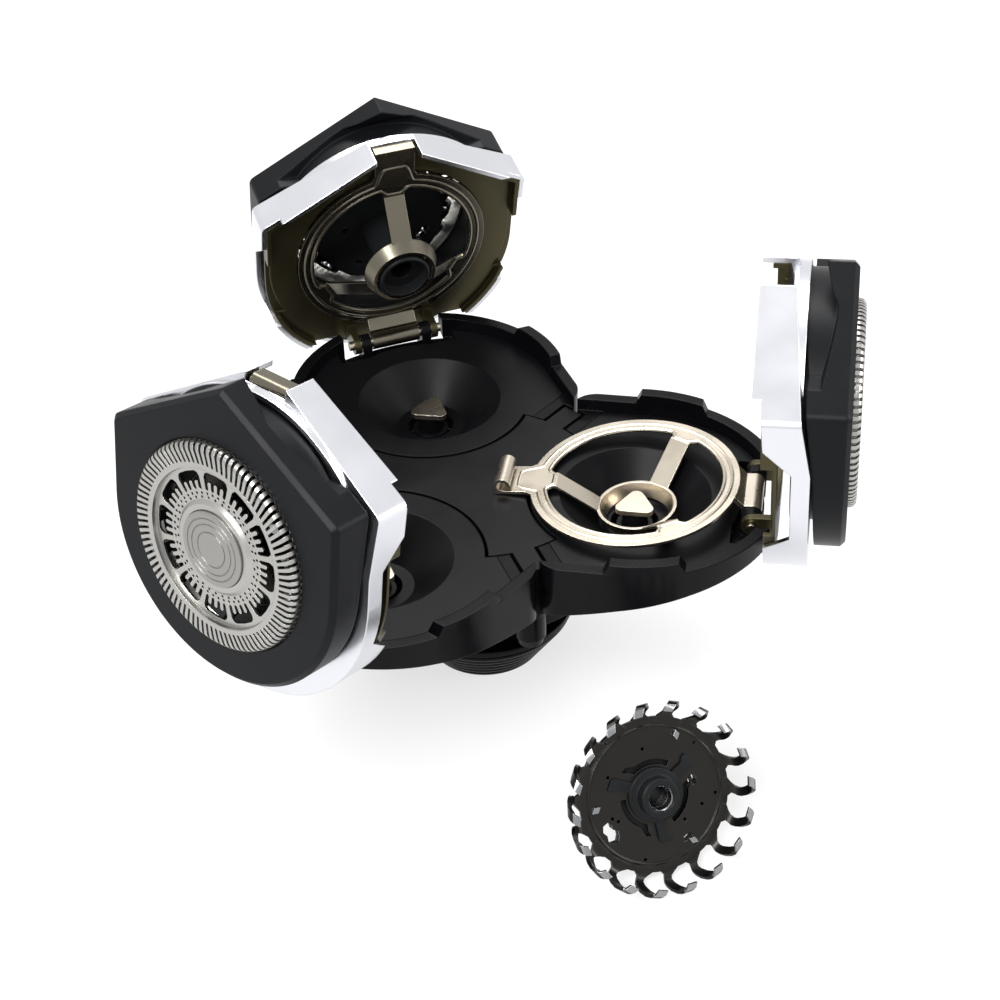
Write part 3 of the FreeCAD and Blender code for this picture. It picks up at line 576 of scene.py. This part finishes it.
def disc_mesh(material):
    """The cap's centre disc, with three engraved rings, and its pin."""
    face, floor = DISC_TOP - 0.01, DISC_TOP - GROOVE_DEPTH
    profile = [(0.0, DISC_TOP)]
    for radius in DISC_GROOVES:
        profile += [(radius - GROOVE_HALF, face), (radius - GROOVE_FLOOR_HALF, floor)]
        profile += [(radius + GROOVE_FLOOR_HALF, floor), (radius + GROOVE_HALF, face)]
    profile += [(3.7, 10.65), (3.86, 10.6), (DISC_RADIUS, 10.5), (DISC_RADIUS, DISC_LOW)]
    profile += [(PIN_RADIUS, DISC_LOW), (PIN_RADIUS, 6.7), (0.0, 6.6)]
    return mark_radius(lathe(profile, 96, material, "disc"))


class SHAVER_OT_caps(bpy.types.Operator):
    """Perforated steel caps with their comb windows and centre discs"""
    bl_idname = "shaver.caps"
    bl_label = "Shaving caps"

    def execute(self, context):
        sizes = context.scene.shaver_sizes
        finishes = context.scene.shaver_finishes
        # Ground steel, warm and soft: its rings draw the light round the cap.
        steel = turned_steel("satin stainless cap", finishes.cap, (0.26, 0.34))
        # The pressed disc is a shade darker, so that it stands out of the web.
        plate = turned_steel("pressed steel disc", finishes.disc, (0.3, 0.38))
        for unit in UNITS:
            place, body = cap_place(unit), "cap_" + unit
            cap, disc = cap_mesh(sizes, steel), disc_mesh(plate)
            piece_from(cap, "cap_skin_" + unit, place, body, ["shaving_cap_" + unit])
            piece_from(disc, "cap_centre_" + unit, place, body, ["cap_disc_" + unit])
        return {"FINISHED"}


# Casings

COLLAR_BORE = 4.4
COLLAR_TOP = 7.0
COLLAR_FOOT = (6.1, 0.25)
COLLAR_RIM = (10.0, 6.2)
RIB_SECTION = ((0.0, 0.0), (0.5, 0.1), (0.62, 0.3), (0.62, 0.55), (0.45, 0.7))


def collar_profile(ribs):
    """The coupling's ribbed cone, from its foot to its flange and back down its bore."""
    (foot, low), (rim, high) = COLLAR_FOOT, COLLAR_RIM
    pitch = (high - low) / ribs
    profile = [(COLLAR_BORE, 0.0), (6.0, 0.0)]
    for i in range(ribs):
        share = i / ribs
        radius = foot + (rim - foot) * share
        height = low + (high - low) * share
        profile += [(radius + out, height + up * pitch) for out, up in RIB_SECTION]
    profile += [(10.1, high), (10.3, 6.35), (10.3, 6.9), (10.2, COLLAR_TOP)]
    return profile + [(COLLAR_BORE, COLLAR_TOP), (COLLAR_BORE, 0.0)]


class SHAVER_OT_casings(bpy.types.Operator):
    """Finishes of casings, gears, screws and springs, and the ribbed coupling collar"""
    bl_idname = "shaver.casings"
    bl_label = "Casings and gearbox"

    def execute(self, context):
        finishes = context.scene.shaver_finishes
        # Bowls and gearbox: near black, with a clear sheen along their edges.
        shell = moulded_plastic("gloss black ABS casing", finishes.casing, (0.2, 0.3))
        # Decks: duller, so that the chambers read as soft grey pools.
        deck = moulded_plastic("satin black ABS deck", finishes.deck, (0.32, 0.44))
        # The central gear: a milky off-white, seen only with the cover off.
        gear = moulded_plastic("natural acetal", finishes.gear, (0.35, 0.5))
        # Springs: bright drawn wire.
        steel = brushed_sheet("drawn spring steel", finishes.spring, (0.3, 0.4))
        # Screws: dark, so that they sink into the black underside.
        black = brushed_sheet("black oxidised steel", finishes.blade, (0.35, 0.45))
        # Collar: the glossiest black, whose ribs catch thin lines of light.
        collar = moulded_plastic("polished black ABS collar", finishes.collar, (0.16, 0.24))
        finish_nodes(shell, *of_units("lobe_shell"), "gearbox_housing", "gearbox_cover")
        finish_nodes(deck, *of_units("lobe_deck"), "central_plate")
        finish_nodes(deck, *of_units("spindle_plunger"), *of_units("spindle_gear"))
        finish_nodes(gear, "central_gear")
        finish_nodes(black, "housing_screws")
        finish_nodes(steel, *of_units("spindle_spring"))
        profile = collar_profile(context.scene.shaver_sizes.ribs)
        ribs = lathe(profile, 120, collar, "coupling_ribs")
        piece_from(ribs, "coupling_ribs", Matrix(), "base", ["coupling_collar"])
        return {"FINISHED"}


class SHAVER_OT_lids(bpy.types.Operator):
    """Finishes of the lids: silver frames, bronze liners and black cap holders"""
    bl_idname = "shaver.lids"
    bl_label = "Lids"

    def execute(self, context):
        finishes = context.scene.shaver_finishes
        # Frames: a bright cool silver, the lightest part of the head.
        silver = plated_plastic("satin silver plating", finishes.plating, (0.2, 0.27))
        # Liners: a dark olive bronze, with some body colour between its reflections.
        bronze = plated_plastic("olive bronze plating", finishes.bronze, (0.28, 0.38), 0.85)
        # Cap holders: an even satin black with broad soft edges.
        holder = moulded_plastic("satin black ABS holder", finishes.holder, (0.36, 0.44), 0.3 * MM)
        finish_nodes(silver, *of_units("lid_frame"))
        finish_nodes(bronze, *of_units("lid_liner"))
        finish_nodes(holder, *of_units("cap_holder"))
        return {"FINISHED"}


# Brackets

BRACKET_MIDDLE = 1.875
BEAD_SIZE = 0.27
OUTER_BEAD = 10.45
INNER_BEAD = 9.65
BEAD_STEPS = 480
# Places and half widths are in degrees round the ring.
NOSE = 180
NOSE_HALF = 13
NOSE_RUN_OUT = 2.1
SPOKES = (60, 180, 300)
SPOKE_HALF = 11
SPOKE_TURN_IN = 0.9
BUMP_FLAT = 0.4


def bump(degrees, centre, half):
    """1 round the centre and 0 past half the width, with a smooth fall between."""
    off = abs((degrees - centre + 180) % 360 - 180) / half
    fall = min(1.0, max(0.0, (off - BUMP_FLAT) / (1 - BUMP_FLAT)))
    return 1.0 - fall * fall * (3.0 - 2.0 * fall)


def beads_mesh(material):
    """The two beads of a bracket's ring, which stand out of both faces: the outer one runs out
    round the nose, and the inner one turns in at the spokes."""
    outer, inner = [], []
    for i in range(BEAD_STEPS):
        degrees = 360 * i / BEAD_STEPS
        turned_in = max(bump(degrees, spoke, SPOKE_HALF) for spoke in SPOKES)
        outer.append((OUTER_BEAD + NOSE_RUN_OUT * bump(degrees, NOSE, NOSE_HALF), degrees))
        inner.append((INNER_BEAD - SPOKE_TURN_IN * turned_in, degrees))
    lines = [bead_mesh(line, BEAD_SIZE, BRACKET_MIDDLE, material, "bead") for line in (outer, inner)]
    return joined(lines, "beads")


class SHAVER_OT_brackets(bpy.types.Operator):
    """Stainless brackets with the beads on their rings, hinge pins and spindle tips"""
    bl_idname = "shaver.brackets"
    bl_label = "Brackets and pins"

    def execute(self, context):
        finishes = context.scene.shaver_finishes
        # The released bracket lies in full light: a warm champagne steel.
        sheet = brushed_sheet("champagne stainless sheet", finishes.sheet, (0.24, 0.32))
        # The same steel in the open lids, its colour darkened as painted shade and a painted
        # reflection of the black lobe before it.
        painted_shade_sheet = brushed_sheet(
            "stainless sheet that mirrors the black lobe", finishes.painted_shade, (0.22, 0.3))
        finish_nodes(sheet, *of_units("hinge_pin"), *of_units("spindle_tip"))
        for unit in UNITS:
            released = unit == RELEASED
            # The open lids' brackets and their beads take the steel with painted shade; the released
            # one keeps the plain sheet.
            steel = sheet if released else painted_shade_sheet
            finish_nodes(steel, "bracket_" + unit)
            place = cap_place(unit, RELEASED_DROP if released else None)
            name, body = "bracket_band_" + unit, "bracket_" + unit
            piece_from(beads_mesh(steel), name, place, body)
        return {"FINISHED"}


# Cutters: blade_plate and carrier_plate are round plates, one on the other, with shared holes

CARRIER_TOP = 6.85
CARRIER_RADIUS = 7.75
CARRIER_BORE = 2.3
CARRIER_PLATE_TOP = 6.6
CARRIER_PLATE = 0.6
BLADE_RADIUS = 8.0
BLADE_BORE = 2.6
BLADE_PLATE_TOP = 7.2
BLADE_PLATE = 0.35
FINGER_SHEET = 0.38
FINGER_END_SHEET = 0.3
ARM_SHEET = 0.4
RIVET_HEIGHT = 0.36
SMALL_HOLE = 0.19
HOOKS = (60, 180, 300)
THIRDS = 3

# Sections of (radius, along the turn, height, half width): a finger necks out of the plate, turns
# up towards the cap and leans, and its ground end lies flat against the cap.
FINGER = (
    (7.4, 0, 7.0, 1.0), (8.0, 0, 7.02, 0.9), (8.35, -0.1, 7.08, 0.55), (8.7, -0.35, 7.22, 0.42),
    (9.0, -0.5, 7.55, 0.42), (9.25, -0.45, 8.0, 0.45), (9.55, -0.2, 8.6, 0.5),
    (9.75, 0.2, 9.25, 0.53), (9.72, 0.5, 9.7, 0.5), (9.55, 0.75, 9.92, 0.5),
)
FINGER_END = ((9.6, 0.7, 9.9, 0.51), (9.42, 0.92, 10.06, 0.51), (8.95, 1.15, 10.12, 0.48))
BOSS_ARM = ((2.8, 0, 7.35, 0.55), (4.1, 0, 7.35, 0.5), (4.6, 0.2, 7.28, 0.7), (5.0, 0.3, 7.2, 0.6))
RIVET = ((5.35, 2.9, 7.36, 0.32), (5.95, 3.2, 7.36, 0.32))

# Outlines and places of (radius, degrees).
KEYHOLE = (
    (6.5, 306), (6.65, 301), (6.35, 296), (6.5, 291), (6.2, 286), (5.6, 285),
    (5.35, 290), (5.5, 295), (5.15, 300), (5.5, 306), (6.0, 309),
)
SMALL_HOLES = (
    (4.9, 184), (5.0, 284), (4.6, 291), (4.3, 38), (5.3, 64),
    (6.5, 150), (6.6, 76), (5.4, 236), (6.7, 340),
)

# Profiles of (radius, height): the boss with its stem and drive socket, the bush and the bead.
BOSS = (
    (1.3, 9.0), (1.45, 9.13), (1.9, 9.13), (2.05, 9.0), (2.05, 7.75), (2.3, 7.65), (2.75, 7.6),
    (2.85, 7.5), (2.85, 6.3), (2.35, 6.1), (2.3, 6.0), (2.3, -0.6), (2.9, -0.75), (2.95, -0.9),
    (2.95, -2.9), (2.8, -3.05), (2.6, -3.05), (2.6, -1.7), (1.3, -1.65), (1.3, 9.0),
)
BUSH = (
    (1.3, 8.9), (1.18, 8.75), (1.18, 7.9), (1.1, 7.8), (1.1, 7.6), (1.18, 7.5), (1.18, 6.2),
    (1.3, 6.1), (1.3, 8.9),
)
RIM_BEAD = ((6.95, 7.18), (7.0, 7.3), (7.1, 7.34), (7.2, 7.3), (7.25, 7.18), (6.95, 7.18))


def shared_holes():
    """Holes through both plates: a keyhole, a slit along the rim, two ovals and a dot."""
    slit = arc(7.68, 210, 236, 8) + arc(7.42, 235, 211, 8)
    return [KEYHOLE, slit, dot(4.35, 95, 0.42, 1.4), dot(5.9, 26, 0.34, 1.9), dot(6.6, 128, 0.2)]


def blade_holes():
    """The blade plate's own holes: hooked slots round the boss, and small ones."""
    holes = []
    for at in HOOKS:
        hook = [(4.3, at + 36), (4.25, at + 44), (3.75, at + 38)]
        holes.append(arc(3.65, at - 36, at + 24, 8) + hook + arc(3.1, at + 34, at - 36, 8))
    return holes + [dot(radius, degrees, SMALL_HOLE) for radius, degrees in SMALL_HOLES]


def round_plate(outer, inner, holes, top, thickness, material, name):
    rims = [arc(outer, 0, 355, 71), arc(inner, 0, 350, 35)]
    return plate_mesh(rims + holes, top, thickness, material, name)


def carrier_mesh(plastic, metal):
    """The carrier's plate, three-armed boss with its bush, and stem with its drive socket."""
    plate = round_plate(
        CARRIER_RADIUS, CARRIER_BORE, shared_holes(), CARRIER_PLATE_TOP, CARRIER_PLATE,
        plastic, "carrier_plate")
    boss = lathe(BOSS, 64, plastic, "carrier_boss")
    arm = strip(BOSS_ARM, ARM_SHEET, plastic, "boss_arm")
    arms = ring_of(arm, THIRDS, plastic, "boss_arms")
    bush = lathe(BUSH, 48, metal, "bush")
    return joined([plate, boss, arms, bush], "core")


def blades_mesh(count, blade, tip):
    """The blade plate with its beaded rim, fingers and rivets."""
    holes = shared_holes() + blade_holes()
    plate = round_plate(
        BLADE_RADIUS, BLADE_BORE, holes, BLADE_PLATE_TOP, BLADE_PLATE, blade, "blade_plate")
    bead = lathe(RIM_BEAD, 96, blade, "rim_bead")
    finger = strip(FINGER, FINGER_SHEET, blade, "finger")
    fingers = ring_of(finger, count, blade, "fingers")
    end = strip(FINGER_END, FINGER_END_SHEET, tip, "finger_tip")
    tips = ring_of(end, count, tip, "finger_tips")
    rivets = ring_of(strip(RIVET, RIVET_HEIGHT, tip, "rivet"), THIRDS, tip, "rivets")
    return joined([plate, bead, fingers, tips, rivets], "blades")


def loose_place():
    """From the cap's frame to the cutter that leans on its stem and blades on the surface."""
    tilt = Matrix.Rotation(LOOSE_TILT, 4, "X") @ Matrix.Rotation(-math.pi / 2, 4, "Z")
    return Matrix.Translation(LOOSE_POINT) @ tilt @ Matrix.Translation((0, 0, -CARRIER_TOP * MM))


class SHAVER_OT_cutters(bpy.types.Operator):
    """Cutters: moulded carriers with plates of bent steel fingers"""
    bl_idname = "shaver.cutters"
    bl_label = "Cutters"

    def execute(self, context):
        finishes = context.scene.shaver_finishes
        count = context.scene.shaver_sizes.fingers
        # Carriers: a dull grey black, a little lighter than the casings.
        plastic = moulded_plastic("dark grey acetal carrier", finishes.carrier, (0.34, 0.44))
        # Blades: hardened steel, nearly as dark as the carrier but with a metal sheen.
        blade = brushed_sheet("dark tempered blade steel", finishes.blade, (0.26, 0.36))
        # Ground ends: small light flats at the fingers' ends.
        tip = brushed_sheet("ground blade end", finishes.tip, (0.2, 0.28))
        for unit in UNITS:
            if unit == RELEASED:
                place, body, ending = loose_place(), "base", "loose"
                carrier, ring = "loose_cutter_carrier", "loose_cutter_blades"
            else:
                place, body, ending = cap_place(unit), "cutter_" + unit, unit
                carrier, ring = "cutter_carrier_" + unit, "cutter_blades_" + unit
            core = carrier_mesh(plastic, tip)
            piece_from(core, "cutter_core_" + ending, place, body, [carrier])
            crown = blades_mesh(count, blade, tip)
            piece_from(crown, "cutter_crown_" + ending, place, body, [ring])
        return {"FINISHED"}


# Stage

FLOOR_RADIUS = 900.0
FLOOR_HEIGHT = -0.02
FLOOR_GLOW = 0.7
WORLD_LIGHT = 0.35
LAMP_AIM = (0, 0, 0.02)
LAMPS = (
    ("key_lamp", (-0.25, -0.22, 0.38), (0.25, 0.25), 3.2),
    ("fill_lamp", (0.36, -0.2, 0.22), (0.2, 0.3), 1.4),
    ("top_lamp", (0.05, 0.2, 0.42), (0.35, 0.2), 2.2),
)


class ShaverStage(bpy.types.PropertyGroup):
    """The camera, fitted to the object's own lines."""
    azimuth: bpy.props.FloatProperty(
        name="Azimuth", description="The camera's way round from the front",
        default=math.radians(-18.887), subtype="ANGLE")
    elevation: bpy.props.FloatProperty(
        name="Elevation", description="The camera's height as an angle",
        default=math.radians(37.427), subtype="ANGLE")
    roll: bpy.props.FloatProperty(
        name="Roll", description="The camera's lean", default=math.radians(-2.1219), subtype="ANGLE")
    distance: bpy.props.FloatProperty(
        name="Distance", description="From the camera to the middle of the head",
        default=218.76 * MM, unit="LENGTH")
    middle: bpy.props.FloatProperty(
        name="Middle", description="Height of the point the camera turns about",
        default=21.65 * MM, unit="LENGTH")
    lens: bpy.props.FloatProperty(
        name="Lens", description="Focal length in millimetres", default=71.876, unit="CAMERA")
    shift_right: bpy.props.FloatProperty(
        name="Shift right", description="Share of the picture's width that the view is shifted by",
        default=0.01954, subtype="FACTOR")
    shift_up: bpy.props.FloatProperty(
        name="Shift up", description="Share of the picture's width that the view is shifted by",
        default=-0.00943, subtype="FACTOR")


def add_camera(stage):
    az, el, roll = stage.azimuth, stage.elevation, stage.roll
    back = Vector((math.sin(az) * math.cos(el), -math.cos(az) * math.cos(el), math.sin(el)))
    level = Vector((math.cos(az), math.sin(az), 0))
    rise = back.cross(level)
    right = math.cos(roll) * level + math.sin(roll) * rise
    up = -math.sin(roll) * level + math.cos(roll) * rise
    camera = bpy.data.cameras.new("studio_camera")
    camera.sensor_width = 36.0
    camera.lens = stage.lens
    camera.shift_x = stage.shift_right
    camera.shift_y = stage.shift_up
    camera.clip_start = 0.01
    seat = placed(camera, "studio_camera")
    seat_point = back * stage.distance + Vector((0, 0, stage.middle))
    turn = Matrix((right, up, back)).transposed().to_4x4()
    seat.matrix_world = Matrix.Translation(seat_point) @ turn
    bpy.context.scene.camera = seat


def add_lamp(name, place, size, watts):
    lamp = bpy.data.lights.new(name, "AREA")
    lamp.shape = "RECTANGLE"
    lamp.size, lamp.size_y = size
    lamp.energy = watts
    made = placed(lamp, name)
    made.location = place
    made.rotation_euler = (Vector(LAMP_AIM) - Vector(place)).to_track_quat("-Z", "Y").to_euler()


def white_where_seen(tree):
    """Factor that is 1 for camera, glossy and transmission rays, which see plain white."""
    rays = add_node(tree, "ShaderNodeLightPath").outputs
    seen = add_maths(tree, "MAXIMUM", rays["Is Camera Ray"], rays["Is Glossy Ray"])
    return add_maths(tree, "MAXIMUM", seen, rays["Is Transmission Ray"])


def add_mixed_output(tree, kind, factor, first, second):
    inputs = {0: factor, 1: first.outputs[0], 2: second.outputs[0]}
    mixed = add_node(tree, "ShaderNodeMixShader", inputs)
    add_node(tree, kind, {"Surface": mixed.outputs[0]})


def add_floor():
    """A matt white floor that glows towards the camera, so that it ends without an edge."""
    paper = bpy.data.materials.new("white studio paper")
    paper.use_nodes = True
    tree = paper.node_tree
    tree.nodes.clear()
    matte = add_node(tree, "ShaderNodeBsdfDiffuse", {"Color": linear("#f4f4f4")})
    glow = add_node(tree, "ShaderNodeEmission", {"Color": linear("#ffffff"), "Strength": 1.0})
    share = add_maths(tree, "MULTIPLY", white_where_seen(tree), FLOOR_GLOW)
    add_mixed_output(tree, "ShaderNodeOutputMaterial", share, matte, glow)
    profile = [(0.0, FLOOR_HEIGHT), (FLOOR_RADIUS, FLOOR_HEIGHT)]
    placed(lathe(profile, 64, paper, "floor"), "floor")


def add_world():
    """A backdrop that is plain white where it is seen, and a soft pale light elsewhere."""
    world = bpy.data.worlds.new("studio world")
    bpy.context.scene.world = world
    world.use_nodes = True
    tree = world.node_tree
    tree.nodes.clear()
    light = add_node(tree, "ShaderNodeBackground", {
        "Color": linear("#f2f4f7"), "Strength": WORLD_LIGHT,
    })
    white = add_node(tree, "ShaderNodeBackground", {"Color": linear("#ffffff"), "Strength": 1.0})
    add_mixed_output(tree, "ShaderNodeOutputWorld", white_where_seen(tree), light, white)


class SHAVER_OT_stage(bpy.types.Operator):
    """Camera, pale floor, white backdrop and soft lamps"""
    bl_idname = "shaver.stage"
    bl_label = "Stage"

    def execute(self, context):
        add_camera(context.scene.shaver_stage)
        add_floor()
        add_world()
        for lamp in LAMPS:
            add_lamp(*lamp)
        context.scene.view_settings.view_transform = "Standard"
        return {"FINISHED"}


class SHAVER_PT_panel(bpy.types.Panel):
    """Sizes and colours of the head, and its pieces"""
    bl_idname = "SHAVER_PT_panel"
    bl_label = "Shaver Head"
    bl_space_type = "VIEW_3D"
    bl_region_type = "UI"
    bl_category = "Shaver Head"

    def draw(self, context):
        scene = context.scene
        for group in (scene.shaver_finishes, scene.shaver_sizes, scene.shaver_stage):
            for name in group.__annotations__:
                self.layout.prop(group, name)
        for operator in OPERATORS:
            self.layout.operator(operator.bl_idname)


OPERATORS = (
    SHAVER_OT_casings, SHAVER_OT_lids, SHAVER_OT_caps,
    SHAVER_OT_brackets, SHAVER_OT_cutters, SHAVER_OT_stage,
)
CLASSES = (ShaverFinishes, ShaverSizes, ShaverStage) + OPERATORS + (SHAVER_PT_panel,)


def register():
    for kind in CLASSES:
        bpy.utils.register_class(kind)
    bpy.types.Scene.shaver_finishes = bpy.props.PointerProperty(type=ShaverFinishes)
    bpy.types.Scene.shaver_sizes = bpy.props.PointerProperty(type=ShaverSizes)
    bpy.types.Scene.shaver_stage = bpy.props.PointerProperty(type=ShaverStage)


def unregister():
    del bpy.types.Scene.shaver_stage
    del bpy.types.Scene.shaver_sizes
    del bpy.types.Scene.shaver_finishes
    for kind in reversed(CLASSES):
        bpy.utils.unregister_class(kind)


def main():
    register()
    bpy.ops.shaver.casings()
    bpy.ops.shaver.lids()
    bpy.ops.shaver.caps()
    bpy.ops.shaver.brackets()
    bpy.ops.shaver.cutters()
    bpy.ops.shaver.stage()


if __name__ == "__main__":
    main()
